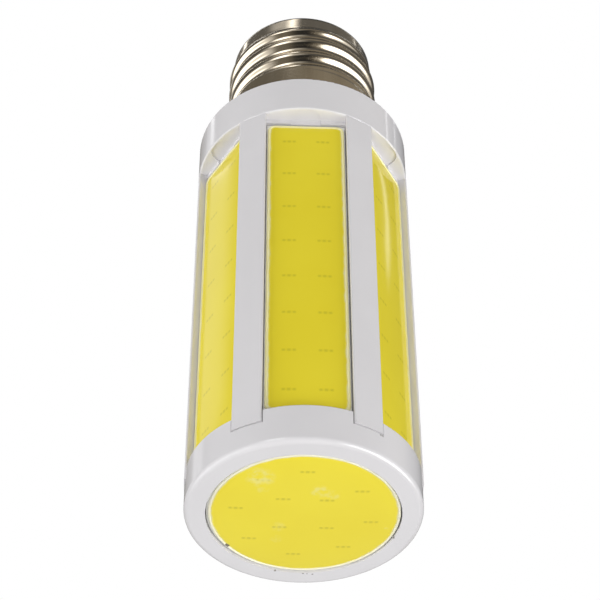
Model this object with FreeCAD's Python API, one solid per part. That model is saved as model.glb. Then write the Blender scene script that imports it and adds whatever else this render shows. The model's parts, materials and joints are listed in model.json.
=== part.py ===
import FreeCAD, Part
import math
import os
from FreeCAD import Vector

# Corn bulb: six upright light strips and one round end light in a white moulded cage, on an E27 screw cap.
# Millimetres. The end ring's flat face lies on z = 0 around the origin, +Z runs up to the cap's contact,
# and the first strip faces -Y. Strips are numbered anticlockwise as seen from the cap.

# Cage: end ring, ribs and collar
strip_count = 6
body_diameter = 35.8
ring_height = 6.65
collar_height = 7.6
window_depth = 2.7  # from the collar's round wall in to a strip board's face
rib_width = 5.31  # across a rib's flat outer face
rib_setback = 0.1  # from the collar's round wall in to the middle of a rib's outer face
ledge_width = 1.6  # how far a rib's ledge reaches in behind a strip board
ledge_thickness = 1.4
foot_depth = 2.2  # how far a rib's foot sinks into the end ring
notch_clearance = 0.1
notch_end_gap = 0.2  # left open under a rib's foot
rib_edge_radius = 0.25
collar_edge_radius = 0.3
step_height = 0.85  # of the collar's step above each strip, flush with the strip's face
pin_mark_diameter = 5.0  # round mark of an ejector pin, half on each step and half above the window
pin_mark_depth = 0.25

# End ring
ring_setback = 0.15  # of the ring's round wall, behind the collar's
ring_strip_clearance = 0.15  # between the ring's wall and the strips' corners
ring_edge_radius = 0.25
end_edge_radius = 0.8
end_face_width = 3.2  # from the ring's outside in to its round opening
end_seat_width = 2.0
end_seat_thickness = 1.2

# Strip boards
strip_side_clearance = 0.2
strip_notch_width = 1.5  # cut from each lower corner, so that leads can pass under the ribs
strip_thickness = 1.0

# Round end board
end_board_thickness = 1.2
end_board_clearance = 0.15

# Light fields: a pale bead around yellow gel, with the dies under the gel
gel_length = 60.55
gel_top_margin = 2.1  # from the collar's underside down to the gel
gel_bottom_margin = 0.9  # from the end ring's height up to the gel
gel_height = 0.45
gel_corner_radius = 0.9
gel_edge_radius = 0.2
strip_dam_margin = 0.1  # from a strip board's edge in to the bead
end_dam_margin = 0.13  # from the round board's edge in to the bead
end_gel_setback = 0.05  # of the round gel, behind the ring's flat face
end_gel_offset = 0.12  # of the round gel and its bead, off the axis towards +X
dam_width = 0.4
dam_height = 0.36
die_length = 1.1
die_width = 0.45
die_height = 0.15
die_rows = 8
die_row_pitch = 7.61
die_top_margin = 3.6  # from the gel's upper end to the middle of the first row
die_side_margin = 3.15  # from the gel's side to the middle of a column
inner_die_reach = 4.8
inner_die_turns = (43, 133, 227, 319)  # about the axis, from the first strip's side
outer_die_inset = 3.73  # from the round gel's edge in to the outer ring of dies
outer_die_turns = (1, 55, 99, 142, 187, 232, 277, 322)

# Screw cap
shell_height = 24.0
shell_lip_width = 0.64  # flat part of the shell's end, between its shoulder and its mouth
shoulder_radius = 1.6
sheet_thickness = 0.3
thread_crest_diameter = 26.3
thread_depth = 1.02
thread_pitch = 3.629
thread_first_crest = 8.85  # above the collar's top, on the side of the first strip
thread_start = 8.0
thread_run_in = 2.0
thread_run_out = 2.2
thread_end_margin = 3.4  # from the shell's end back to the thread's
band_setback = 0.15  # of the plain band below the shoulder, behind the thread's mid radius
band_tilt = 4.0  # lean of the plain band inwards, in degrees
contact_diameter = 9.5
contact_thickness = 0.9
contact_edge_radius = 0.4
contact_stem_diameter = 2.0
contact_stem_end = 0.8  # how far the stem shows below the insulator
insulator_rise = 2.1  # from the shell's end up to the contact
insulator_top_diameter = 10.8
insulator_mouth_clearance = 0.15
insulator_flange_clearance = 0.09
insulator_flange_thickness = 1.55
insulator_stem_clearance = 0.1
insulator_lip_clearance = 0.05

# Neck inside the cap
neck_clearance = 0.25
neck_wall = 1.4
neck_end_gap = 3.8  # from the shell's end back to the neck's
groove_depth = 0.5
groove_clearance = 0.1

# Driver board and what it carries
driver_thickness = 1.2
driver_length = 43.0
driver_top_margin = 2.8  # from the neck's top down to the board
driver_side_clearance = 0.2
film_clearance = 0.5  # from the neck's bore to the capacitor's corners
film_depth = 7.0
film_length = 11.0
film_edge_radius = 0.8
film_top_margin = 4.6
smoothing_diameter = 8.0
smoothing_length = 12.5
smoothing_edge_radius = 0.5
smoothing_top_margin = 8.6
fuse_diameter = 2.8
fuse_length = 7.5
fuse_edge_radius = 0.6
fuse_offset = -6.0
fuse_top_margin = 1.6
bridge_width = 4.7
bridge_depth = 2.5
bridge_length = 3.9
bridge_top_margin = 21.0
chip_width = 3.2
chip_depth = 0.6
chip_length = 1.6
chip_pitch = 3.0
chip_count = 4
chip_foot_margin = 16.0  # from the board's foot up to the first chip's upper edge
body_gap = 0.1  # under a round body that lies on the board

# Leads
lead_diameter = 0.6
lead_gap = 0.05  # between a lead and the face that it is soldered to
lead_bend = 3.0
lead_small_bend = 0.7
lead_pad_length = 2.0
lead_pad_offset = 6.0
strip_pad_offset = 3.4
link_clearance = 0.08  # between a lead under a rib and the strips' corners
core_lead_inset = 2.0  # from a rib's inside in to the lead beside it
end_turn_inset = 1.1  # from the end seat's hole in to the lead's bend
end_drop_run = 2.2
end_pad_run = 2.5
neutral_turn = 20.0
neutral_tail = 7.0


def beside_rib(across, reach):
    """Place along and across a rib, of a point given across the strip beside it and out from the axis."""
    along = reach * math.cos(half_turn) + across * math.sin(half_turn)
    aside = across * math.cos(half_turn) - reach * math.sin(half_turn)
    return along, aside


# Worked-out sizes
axis_up = Vector(0, 0, 1)
half_turn = math.pi / strip_count
body_radius = body_diameter / 2
lead_radius = lead_diameter / 2
lead_lift = lead_radius + lead_gap
window_height = gel_length + gel_top_margin + gel_bottom_margin
collar_bottom = ring_height + window_height
collar_top = collar_bottom + collar_height
rib_face_reach = body_radius - rib_setback
slot_half = rib_face_reach * math.sin(half_turn) - rib_width / 2 * math.cos(half_turn)
slot_width = 2 * slot_half
strip_width = slot_width - 2 * strip_side_clearance
strip_face_reach = body_radius - window_depth
strip_seat_reach = strip_face_reach - strip_thickness
strip_lead_reach = strip_face_reach + lead_lift
strip_gap_half = -beside_rib(strip_width / 2, strip_seat_reach)[1]
strip_foot_half = strip_width / 2 - strip_notch_width
link_reach = beside_rib(strip_foot_half, strip_face_reach)[0] + lead_radius + link_clearance
ledge_edge = slot_half - ledge_width
rib_inside = beside_rib(ledge_edge, strip_seat_reach - ledge_thickness)[0]
gel_width = strip_width - 2 * (strip_dam_margin + dam_width)
gel_top = collar_bottom - gel_top_margin
gel_middle = gel_top - gel_length / 2
first_row_z = gel_top - die_top_margin
die_column_pitch = gel_width - 2 * die_side_margin
ring_bore = math.hypot(strip_width / 2, strip_face_reach) + ring_strip_clearance
ring_radius = body_radius - ring_setback
ring_wall = ring_radius - ring_bore
foot_z = ring_height - foot_depth
opening_radius = ring_radius - end_face_width
end_recess = gel_height + end_gel_setback
end_seat_z = end_recess + end_board_thickness
seat_top = end_seat_z + end_seat_thickness
seat_hole_radius = opening_radius - end_seat_width
end_board_radius = opening_radius - end_board_clearance
end_gel_radius = end_board_radius - end_dam_margin - dam_width
outer_die_reach = end_gel_radius - outer_die_inset
strip_bottom = seat_top
strip_top = gel_top + dam_width + strip_dam_margin
step_bottom = collar_bottom - step_height
crest_radius = thread_crest_diameter / 2
root_radius = crest_radius - thread_depth
shell_radius = crest_radius - thread_depth / 2
shell_top = collar_top + shell_height
band_lean = math.radians(band_tilt)
thread_end = shell_height - thread_end_margin
band_end = shell_height - shoulder_radius * (1 - math.sin(band_lean))
band_radius = shell_radius - band_setback - (band_end - thread_end) * math.tan(band_lean)
shoulder_reach = band_radius - shoulder_radius * math.cos(band_lean)
mouth_radius = shoulder_reach - shell_lip_width
flange_top = shell_top - sheet_thickness - insulator_lip_clearance
flange_bottom = flange_top - insulator_flange_thickness
contact_bottom = shell_top + insulator_rise
cap_tip = contact_bottom + contact_thickness
stem_bottom = flange_bottom - contact_stem_end
neck_radius = root_radius - sheet_thickness - neck_clearance
neck_bore = neck_radius - neck_wall
neck_top = shell_top - neck_end_gap
driver_top = neck_top - driver_top_margin
driver_bottom = driver_top - driver_length
driver_half_width = neck_bore + groove_depth - driver_side_clearance
driver_face = driver_thickness / 2
film_width = 2 * math.sqrt((neck_bore - film_clearance) ** 2 - (driver_face + film_depth) ** 2)
under_rib_z = (seat_top + foot_z) / 2
end_lead_z = end_seat_z + lead_lift
pair_offset = strip_gap_half - link_clearance - lead_radius
core_lead_reach = rib_inside - core_lead_inset
end_turn_reach = seat_hole_radius - end_turn_inset
end_drop_reach = end_turn_reach - end_drop_run
end_pad_reach = end_drop_reach - end_pad_run
same_place = 1e-4  # how near two heights count as one


def on_axis_plane(a, b):
    """Place of a profile point: a is the distance from the axis and b the height."""
    return Vector(a, 0, b)


def on_floor(a, b):
    """Place of a plan point on the plane z = 0."""
    return Vector(a, b, 0)


def rounded_face(corners, place):
    """Flat face with corners (a, b, radius), each corner rounded by its own radius."""
    stops = []
    for i, (a, b, radius) in enumerate(corners):
        here = Vector(a, b, 0)
        back = (Vector(*corners[i - 1][:2], 0) - here).normalize()
        ahead = (Vector(*corners[(i + 1) % len(corners)][:2], 0) - here).normalize()
        if radius == 0:
            stops.append([here])
            continue
        half = back.getAngle(ahead) / 2
        reach = radius / math.tan(half)
        inward = (back + ahead).normalize()
        middle = here + inward * (radius / math.sin(half) - radius)
        stops.append([here + back * reach, middle, here + ahead * reach])
    edges = []
    for i, stop in enumerate(stops):
        points = [place(p.x, p.y) for p in stop]
        if len(points) == 3:
            edges.append(Part.Arc(*points).toShape())
        following = stops[(i + 1) % len(stops)][0]
        edges.append(Part.LineSegment(points[-1], place(following.x, following.y)).toShape())
    return Part.Face(Part.Wire(edges))


def turned(corners):
    """Solid of revolution about the bulb's axis from a profile of (distance, height, radius) corners."""
    return rounded_face(corners, on_axis_plane).revolve(Vector(0, 0, 0), axis_up, 360)


def cylinder(radius, bottom, top):
    """Round bar about the bulb's axis between two heights."""
    return Part.makeCylinder(radius, top - bottom, Vector(0, 0, bottom))


def turned_by(shape, degrees):
    """Copy of a shape turned about the bulb's axis."""
    copy = shape.copy()
    copy.rotate(Vector(0, 0, 0), axis_up, degrees)
    return copy


def at_strips(shape):
    """Copies of a shape made for the first strip, one for each strip."""
    return [turned_by(shape, 360 / strip_count * k) for k in range(strip_count)]


def front_box(width, inner, outer, bottom, top):
    """Box in front of the first strip, between two distances from the axis."""
    return Part.makeBox(width, outer - inner, top - bottom, Vector(-width / 2, -outer, bottom))


def slot_wall_aside(wall_offset, along):
    """Half thickness of the wedge left between two slots, at a distance along the rib."""
    reach = (along - wall_offset * math.sin(half_turn)) / math.cos(half_turn)
    return -beside_rib(wall_offset, reach)[1]


def rib():
    """One rib along +X: a wedge between two slots, with a ledge behind each of the two strips."""
    side = [
        (rib_face_reach, -rib_width / 2, rib_edge_radius),
        (*beside_rib(slot_half, strip_seat_reach), 0),
        (*beside_rib(ledge_edge, strip_seat_reach), 0),
        (*beside_rib(ledge_edge, strip_seat_reach - ledge_thickness), 0),
    ]
    mirrored = [(along, -aside, radius) for along, aside, radius in reversed(side)]
    outline = rounded_face(side + mirrored, on_floor)
    outline.translate(Vector(0, 0, foot_z))
    return outline.extrude(axis_up * (collar_bottom - foot_z))


def rib_notch():
    """Cutter for a rib's notch in the end ring's wall: the rib's wedge grown by the clearance."""
    inner = ring_bore - ring_wall
    outer = ring_radius + ring_wall
    wall_offset = slot_half - notch_clearance
    inner_half = slot_wall_aside(wall_offset, inner)
    outer_half = slot_wall_aside(wall_offset, outer)
    corners = [
        (inner, -inner_half, 0),
        (outer, -outer_half, 0),
        (outer, outer_half, 0),
        (inner, inner_half, 0),
    ]
    outline = rounded_face(corners, on_floor)
    outline.translate(Vector(0, 0, foot_z - notch_end_gap))
    return outline.extrude(axis_up * ring_height)


def rib_turns():
    """Angles of the ribs, halfway between the strips."""
    return [360 / strip_count * (k + 0.5) - 90 for k in range(strip_count)]


def collar_step():
    """Step under the collar, with one flat side above each strip."""
    corner_reach = strip_face_reach / math.cos(half_turn)
    corners = []
    for degrees in rib_turns():
        turn = math.radians(degrees)
        corners.append((corner_reach * math.cos(turn), corner_reach * math.sin(turn), 0))
    outline = rounded_face(corners, on_floor)
    outline.translate(Vector(0, 0, step_bottom))
    return outline.extrude(axis_up * step_height).cut(cylinder(neck_bore, step_bottom, collar_bottom))


def pin_mark():
    """Cutter for the ejector pin's mark above the first strip, as deep in the step as in the collar."""
    middle = Vector(0, -strip_face_reach, step_bottom)
    pin = Part.makeCylinder(pin_mark_diameter / 2, step_height + pin_mark_depth, middle)
    inner = strip_face_reach - pin_mark_depth
    outer = body_radius - collar_edge_radius
    return pin.common(front_box(slot_width, inner, outer, step_bottom, collar_bottom + pin_mark_depth))


def housing():
    """White cage in one moulding: neck, collar, step and ribs."""
    body = turned([
        (neck_bore, collar_bottom, 0),
        (body_radius, collar_bottom, collar_edge_radius),
        (body_radius, collar_top, collar_edge_radius),
        (neck_radius, collar_top, 0),
        (neck_radius, neck_top, 0),
        (neck_bore, neck_top, 0),
    ])
    ribs = [turned_by(rib(), degrees) for degrees in rib_turns()]
    body = body.fuse(ribs + [collar_step()])
    cuts = at_strips(pin_mark())
    groove_width = driver_thickness + 2 * groove_clearance
    groove_span = 2 * (neck_bore + groove_depth)
    groove_height = driver_top + groove_clearance - step_bottom
    groove_corner = Vector(-groove_span / 2, -groove_width / 2, step_bottom)
    cuts.append(Part.makeBox(groove_span, groove_width, groove_height, groove_corner))
    cuts.append(neutral_groove())
    return body.cut(cuts).removeSplitter()


def neutral_groove():
    """Groove down the neck's outside for the neutral lead."""
    width = lead_diameter + 2 * groove_clearance
    bottom = neck_radius - lead_radius - lead_lift
    length = neutral_tail + groove_clearance
    groove = Part.makeBox(neck_radius, width, length, Vector(bottom, -width / 2, neck_top - length))
    return turned_by(groove, neutral_turn)


def end_ring():
    """White ring at the free end, with the ribs' notches and the round board's seat."""
    ring = turned([
        (opening_radius, 0, 0),
        (ring_radius, 0, end_edge_radius),
        (ring_radius, ring_height, ring_edge_radius),
        (ring_bore, ring_height, 0),
        (ring_bore, seat_top, 0),
        (seat_hole_radius, seat_top, 0),
        (seat_hole_radius, end_seat_z, 0),
        (opening_radius, end_seat_z, 0),
    ])
    return ring.cut([turned_by(rib_notch(), degrees) for degrees in rib_turns()])


def strip_board():
    """Board of the first strip, from the end ring's seat to below the collar's step, notched at its foot."""
    board = front_box(strip_width, strip_seat_reach, strip_face_reach, foot_z, strip_top)
    foot = front_box(2 * strip_foot_half, strip_seat_reach, strip_face_reach, strip_bottom, foot_z)
    return board.fuse(foot).removeSplitter()


def strip_pad(width, length, corner, height):
    """Pad with round corners on the first strip's face, about the middle of the gel."""
    half = width / 2
    low = gel_middle - length / 2
    high = gel_middle + length / 2
    corners = [(-half, low, corner), (half, low, corner), (half, high, corner), (-half, high, corner)]
    outline = rounded_face(corners, on_axis_plane)
    outline.translate(Vector(0, -strip_face_reach, 0))
    return outline.extrude(Vector(0, -height, 0))


def strip_dies():
    """Dies of the first strip, in two columns."""
    dies = []
    for row in range(die_rows):
        height = first_row_z - row * die_row_pitch
        for side in (-1, 1):
            die = front_box(
                die_length, strip_face_reach, strip_face_reach + die_height,
                height - die_width / 2, height + die_width / 2,
            )
            die.translate(Vector(side * die_column_pitch / 2, 0, 0))
            dies.append(die)
    return dies


def strip_gel():
    """Gel of the first strip, rounded over at its outer edge and poured around the dies."""
    gel = strip_pad(gel_width, gel_length, gel_corner_radius, gel_height)
    outer = -strip_face_reach - gel_height
    rim = [edge for edge in gel.Edges if edge.BoundBox.YMax < outer + same_place]
    return gel.makeFillet(gel_edge_radius, rim).cut(strip_dies())


def strip_dam():
    """Bead around the first strip's gel."""
    outer_corner = gel_corner_radius + dam_width
    outer = strip_pad(gel_width + 2 * dam_width, gel_length + 2 * dam_width, outer_corner, dam_height)
    return outer.cut(strip_pad(gel_width, gel_length, gel_corner_radius, dam_height))


def end_dies():
    """Dies of the round end light, in two rings."""
    dies = []
    for reach, turns in ((inner_die_reach, inner_die_turns), (outer_die_reach, outer_die_turns)):
        for degrees in turns:
            turn = math.radians(degrees)
            x = reach * math.sin(turn) - die_length / 2
            y = -reach * math.cos(turn) - die_width / 2
            corner = Vector(x, y, end_recess - die_height)
            dies.append(Part.makeBox(die_length, die_width, die_height, corner))
    return dies


def end_gel():
    """Gel of the round end light, just inside the ring's flat face."""
    low = end_recess - gel_height
    gel = turned([
        (0, low, 0),
        (end_gel_radius, low, gel_edge_radius),
        (end_gel_radius, end_recess, 0),
        (0, end_recess, 0),
    ])
    gel.translate(Vector(end_gel_offset, 0, 0))
    return gel.cut(end_dies())


def end_dam():
    """Bead around the round gel."""
    low = end_recess - dam_height
    outer = cylinder(end_gel_radius + dam_width, low, end_recess)
    dam = outer.cut(cylinder(end_gel_radius, low, end_recess))
    dam.translate(Vector(end_gel_offset, 0, 0))
    return dam


def eased(share):
    """Share between 0 and 1 along a cubic with level ends."""
    held = max(0.0, min(1.0, share))
    return held * held * (3 - 2 * held)


def thread_offset(height, turn):
    """Distance of the cap's wall from its mid radius: crest and root arcs that meet tangentially.

    The arcs' radius follows from the pitch and the depth. The thread runs in above the skirt, which is as
    wide as the crests, and out into the plain band below the shoulder, which leans in.
    """
    arc = (thread_depth ** 2 + thread_pitch ** 2 / 4) / (4 * thread_depth)
    above = height - collar_top
    phase = ((above - thread_first_crest) / thread_pitch - turn) % 1.0
    from_crest = (0.5 - abs(phase - 0.5)) * thread_pitch
    from_top = min(from_crest, thread_pitch / 2 - from_crest)
    rise = thread_depth / 2 - arc + math.sqrt(arc ** 2 - from_top ** 2)
    sign = 1 if from_crest <= thread_pitch / 4 else -1
    run_in = eased((above - thread_start) / thread_run_in)
    run_out = eased((thread_end - above) / thread_run_out)
    skirt = thread_depth / 2 * (1 - run_in)
    band = band_setback * (1 - run_out) + max(0.0, above - thread_end) * math.tan(band_lean)
    return sign * rise * run_in * run_out + skirt - band


def cap_rows(inset):
    """Rows of the pressed cap's wall, from the skirt over the shoulder to the mouth.

    Each row is its radius, its height and whether the thread is rolled into it.
    """
    rows_a_pitch = 16
    steps = math.ceil(band_end / thread_pitch * rows_a_pitch)
    rows = [(shell_radius - inset, collar_top + band_end * k / steps, True) for k in range(steps + 1)]
    bend = shoulder_radius - inset
    bend_steps = 8
    for k in range(1, bend_steps + 1):
        angle = band_lean + (math.pi / 2 - band_lean) * k / bend_steps
        height = shell_top - shoulder_radius + bend * math.sin(angle)
        rows.append((shoulder_reach + bend * math.cos(angle), height, False))
    lip_steps = 3
    for k in range(1, lip_steps + 1):
        rows.append((shoulder_reach - shell_lip_width * k / lip_steps, shell_top - inset, False))
    return rows


def cap_wall(inset):
    """One smooth face of the pressed cap, as a spline surface closed around the axis."""
    around = 36
    circle_gain = 3 / (2 + math.cos(2 * math.pi / around))
    rows = cap_rows(inset)
    poles = []
    for i in range(around):
        turn = i / around
        angle = 2 * math.pi * turn - math.pi / 2
        column = []
        for radius, height, threaded in rows:
            reach = circle_gain * (radius + (thread_offset(height, turn) if threaded else 0.0))
            column.append(Vector(reach * math.cos(angle), reach * math.sin(angle), height))
        poles.append(column)
    degree = 3
    spans = len(rows) - degree
    row_mults = [degree + 1] + [1] * (spans - 1) + [degree + 1]
    surface = Part.BSplineSurface()
    surface.buildFromPolesMultsKnots(
        poles, [1] * (around + 1), row_mults, list(range(around + 1)), list(range(spans + 1)),
        True, False, degree, degree,
    )
    return surface.toShape()


def closed_edge_at(face, height):
    """The face's closed edge that lies at one height."""
    for edge in face.Edges:
        off = max(abs(edge.BoundBox.ZMax - height), abs(edge.BoundBox.ZMin - height))
        if edge.isClosed() and off < same_place:
            return edge
    raise ValueError("no closed edge at that height")


def screw_shell():
    """Pressed cap shell with a rolled right-hand thread, the same thickness all over."""
    outer = cap_wall(0.0)
    inner = cap_wall(sheet_thickness)
    foot = Part.makeRuledSurface(closed_edge_at(outer, collar_top), closed_edge_at(inner, collar_top))
    mouth = Part.makeRuledSurface(
        closed_edge_at(outer, shell_top), closed_edge_at(inner, shell_top - sheet_thickness),
    )
    shell = Part.makeShell([outer, inner, foot, mouth])
    shell.sewShape()
    solid = Part.makeSolid(shell)
    if solid.Volume < 0:
        solid.reverse()
    return solid


def cap_insulator():
    """Black glass between the shell's mouth and the contact, with a flange under the shell's lip."""
    flange = shoulder_reach - insulator_flange_clearance
    waist = mouth_radius - insulator_mouth_clearance
    top = insulator_top_diameter / 2
    hole = contact_stem_diameter / 2 + insulator_stem_clearance
    return turned([
        (hole, flange_bottom, 0),
        (flange, flange_bottom, 0),
        (flange, flange_top, 0),
        (waist, flange_top, 0),
        (waist, shell_top, 0),
        (top, contact_bottom, 0),
        (hole, contact_bottom, 0),
    ])


def centre_contact():
    """Contact at the cap's tip, riveted through the insulator."""
    head = contact_diameter / 2
    stem = contact_stem_diameter / 2
    return turned([
        (0, stem_bottom, 0),
        (stem, stem_bottom, 0),
        (stem, contact_bottom, 0),
        (head, contact_bottom, 0),
        (head, cap_tip, contact_edge_radius),
        (0, cap_tip, 0),
    ])


def driver_board():
    """Upright circuit board, held by its long edges in the neck's grooves."""
    corner = Vector(-driver_half_width, -driver_face, driver_bottom)
    return Part.makeBox(2 * driver_half_width, driver_thickness, driver_length, corner)


def on_driver(width, depth, length, top_margin):
    """Block on the driver board's front, in the middle, with its top at a margin below the board's."""
    top = driver_top - top_margin
    return front_box(width, driver_face, driver_face + depth, top - length, top)


def round_body(diameter, length, edge_radius, offset, top_margin):
    """Round body upright on the driver board's back."""
    radius = diameter / 2
    body = turned([
        (0, 0, 0), (radius, 0, edge_radius), (radius, length, edge_radius), (0, length, 0),
    ])
    body.translate(Vector(offset, driver_face + body_gap + radius, driver_top - top_margin - length))
    return body


def film_capacitor():
    """Box-shaped capacitor on the driver board's front, inside the neck."""
    block = on_driver(film_width, film_depth, film_length, film_top_margin)
    front = [edge for edge in block.Edges if edge.BoundBox.YMax < -driver_face - film_depth / 2]
    return block.makeFillet(film_edge_radius, front)


def chip_resistors():
    """Flat resistors in a row down the driver board's front."""
    first_margin = driver_length - chip_foot_margin
    margins = [first_margin + k * chip_pitch for k in range(chip_count)]
    return [on_driver(chip_width, chip_depth, chip_length, margin) for margin in margins]


def lead(route):
    """Round lead along straight runs joined by tangent arcs. The route holds (point, bend radius) pairs."""
    points = [point for point, bend in route]
    edges = []
    start = points[0]
    for i in range(1, len(points) - 1):
        back = (points[i - 1] - points[i]).normalize()
        ahead = (points[i + 1] - points[i]).normalize()
        bend = route[i][1]
        half = back.getAngle(ahead) / 2
        reach = bend / math.tan(half)
        inward = (back + ahead).normalize()
        middle = points[i] + inward * (bend / math.sin(half) - bend)
        arc_start = points[i] + back * reach
        arc_end = points[i] + ahead * reach
        edges.append(Part.LineSegment(start, arc_start).toShape())
        edges.append(Part.Arc(arc_start, middle, arc_end).toShape())
        start = arc_end
    edges.append(Part.LineSegment(start, points[-1]).toShape())
    path = Part.Wire(edges)
    section = Part.Wire(Part.makeCircle(lead_radius, points[0], points[1] - points[0]))
    return path.makePipeShell([section], True, False)


def rib_place(along, aside, height, degrees):
    """Point given along and across a rib, at that rib's angle."""
    turn = math.radians(degrees)
    x = along * math.cos(turn) - aside * math.sin(turn)
    y = along * math.sin(turn) + aside * math.cos(turn)
    return Vector(x, y, height)


def strip_pad_to_rib():
    """Places along and across a rib: the lead on a strip's pad, and its bend around the strip's corner."""
    across = (link_reach - strip_lead_reach * math.cos(half_turn)) / math.sin(half_turn)
    return beside_rib(strip_pad_offset, strip_lead_reach), beside_rib(across, strip_lead_reach)


def strip_links():
    """Leads from each strip to the next, under the ribs' feet."""
    pad, corner = strip_pad_to_rib()
    places = [pad, corner, (corner[0], -corner[1]), (pad[0], -pad[1])]
    links = []
    for degrees in rib_turns()[:-1]:
        links.append(lead([(rib_place(a, b, under_rib_z, degrees), lead_small_bend) for a, b in places]))
    return links


def open_rib():
    """Angle of the rib between the last strip and the first, under which no link passes."""
    return rib_turns()[-1]


def under_open_rib(side):
    """Route from a strip's pad in under the open rib; side is -1 for the last strip and 1 for the first."""
    pad, corner = strip_pad_to_rib()
    aside = side * pair_offset
    return [
        (rib_place(pad[0], -side * pad[1], under_rib_z, open_rib()), 0),
        (rib_place(corner[0], -side * corner[1], under_rib_z, open_rib()), lead_small_bend),
        (rib_place(corner[0], aside, under_rib_z, open_rib()), lead_small_bend),
    ]


def positive_lead():
    """From the driver board's foot down the core to the first strip."""
    aside = pair_offset
    pad_top = driver_bottom + lead_pad_length
    start = Vector(-lead_pad_offset, -driver_face - lead_lift, pad_top)
    below = start - axis_up * (pad_top - driver_bottom + 2 * lead_bend)
    beside = rib_place(core_lead_reach, aside, below.z / 2, open_rib())
    turn = rib_place(core_lead_reach, aside, under_rib_z, open_rib())
    route = [(start, 0), (below, lead_bend), (beside, lead_bend), (turn, lead_bend)]
    return lead(route + under_open_rib(1)[::-1])


def end_light_lead():
    """From the last strip under the rib to the back of the round end board."""
    aside = -pair_offset
    route = under_open_rib(-1)
    route.append((rib_place(end_turn_reach, aside, under_rib_z, open_rib()), lead_small_bend))
    route.append((rib_place(end_drop_reach, aside, end_lead_z, open_rib()), lead_small_bend))
    route.append((rib_place(end_pad_reach, aside, end_lead_z, open_rib()), 0))
    return lead(route)


def negative_lead():
    """From the back of the round end board straight up the core to the driver board's foot."""
    x = lead_pad_offset
    y = -driver_face - lead_lift
    top = Vector(x, y, driver_bottom + lead_pad_length)
    return lead([(Vector(0, y, end_lead_z), 0), (Vector(x, y, end_lead_z), lead_bend), (top, 0)])


def live_lead():
    """From the driver board's top to the contact's stem."""
    y = -driver_face - lead_lift
    start = Vector(-lead_pad_offset, y, driver_top - lead_pad_length)
    over = Vector(-lead_pad_offset, y, driver_top + lead_diameter)
    middle_z = stem_bottom - lead_pad_length
    return lead([
        (start, 0),
        (over, lead_small_bend),
        (Vector(0, 0, middle_z), lead_small_bend),
        (Vector(0, 0, stem_bottom), 0),
    ])


def neutral_lead():
    """From the driver board's top over the neck's edge, down between the neck and the shell."""
    over_z = (neck_top + flange_bottom) / 2
    groove_reach = neck_radius - lead_radius
    start = Vector(lead_pad_offset, driver_face + lead_lift, driver_top - lead_pad_length)
    rise = Vector(start.x, start.y, driver_top)
    return lead([
        (start, 0),
        (rise, lead_small_bend),
        (rib_place(neck_bore - lead_diameter, 0, over_z, neutral_turn), lead_small_bend),
        (rib_place(groove_reach, 0, over_z, neutral_turn), lead_small_bend),
        (rib_place(groove_reach, 0, neck_top - neutral_tail, neutral_turn), 0),
    ])


def group(shapes):
    """Like pieces kept together as separate solids."""
    return Part.makeCompound(shapes)


pieces = {
    "housing": housing(),
    "end_ring": end_ring(),
    "screw_shell": screw_shell(),
    "cap_insulator": cap_insulator(),
    "centre_contact": centre_contact(),
    "end_board": cylinder(end_board_radius, end_recess, end_seat_z),
    "end_dam": end_dam(),
    "end_gel": end_gel(),
    "end_dies": group(end_dies()),
    "driver_board": driver_board(),
    "film_capacitor": film_capacitor(),
    "smoothing_capacitor": round_body(
        smoothing_diameter, smoothing_length, smoothing_edge_radius, 0, smoothing_top_margin),
    "fuse_resistor": round_body(fuse_diameter, fuse_length, fuse_edge_radius, fuse_offset, fuse_top_margin),
    "bridge_rectifier": on_driver(bridge_width, bridge_depth, bridge_length, bridge_top_margin),
    "chip_resistors": group(chip_resistors()),
    "live_lead": live_lead(),
    "neutral_lead": neutral_lead(),
    "positive_lead": positive_lead(),
    "negative_lead": negative_lead(),
    "end_light_lead": end_light_lead(),
    "strip_links": group(strip_links()),
}
strip_pieces = {
    "side_board": strip_board(),
    "side_dam": strip_dam(),
    "side_gel": strip_gel(),
    "side_dies": group(strip_dies()),
}
for name, first in strip_pieces.items():
    for number, shape in enumerate(at_strips(first), start=1):
        pieces[f"{name}_{number}"] = shape

os.makedirs("parts", exist_ok=True)
for name, shape in pieces.items():
    shape.exportStep(f"parts/{name}.step")
    print(name, shape.isValid(), len(shape.Solids), round(shape.Volume, 3))
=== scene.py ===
import json
import math

import bmesh
import bpy
import numpy as np
from mathutils import Matrix, Vector


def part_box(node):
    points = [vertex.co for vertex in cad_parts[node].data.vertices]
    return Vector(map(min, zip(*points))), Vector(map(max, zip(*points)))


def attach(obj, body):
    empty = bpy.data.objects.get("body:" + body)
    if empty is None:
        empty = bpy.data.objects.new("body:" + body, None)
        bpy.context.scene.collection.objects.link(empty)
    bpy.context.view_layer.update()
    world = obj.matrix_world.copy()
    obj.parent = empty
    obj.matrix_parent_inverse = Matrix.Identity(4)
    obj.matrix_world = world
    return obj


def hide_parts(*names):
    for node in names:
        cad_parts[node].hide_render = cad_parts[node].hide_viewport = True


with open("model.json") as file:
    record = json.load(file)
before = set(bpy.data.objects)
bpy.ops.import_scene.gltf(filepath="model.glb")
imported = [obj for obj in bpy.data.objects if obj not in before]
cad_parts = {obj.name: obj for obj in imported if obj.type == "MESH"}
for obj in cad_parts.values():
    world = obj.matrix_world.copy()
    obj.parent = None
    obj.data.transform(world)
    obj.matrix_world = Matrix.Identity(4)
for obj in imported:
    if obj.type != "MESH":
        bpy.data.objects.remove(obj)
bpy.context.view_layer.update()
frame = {"nodes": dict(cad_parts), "record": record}

# Corn bulb: finish of every surface, with the poured gel, the silicone beads, the rolled cap and the tip as
# new pieces. Lengths are millimetres up to the point where a mesh is made, which is in metres.
MM = 0.001

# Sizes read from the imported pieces
strip_count = 6


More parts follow.
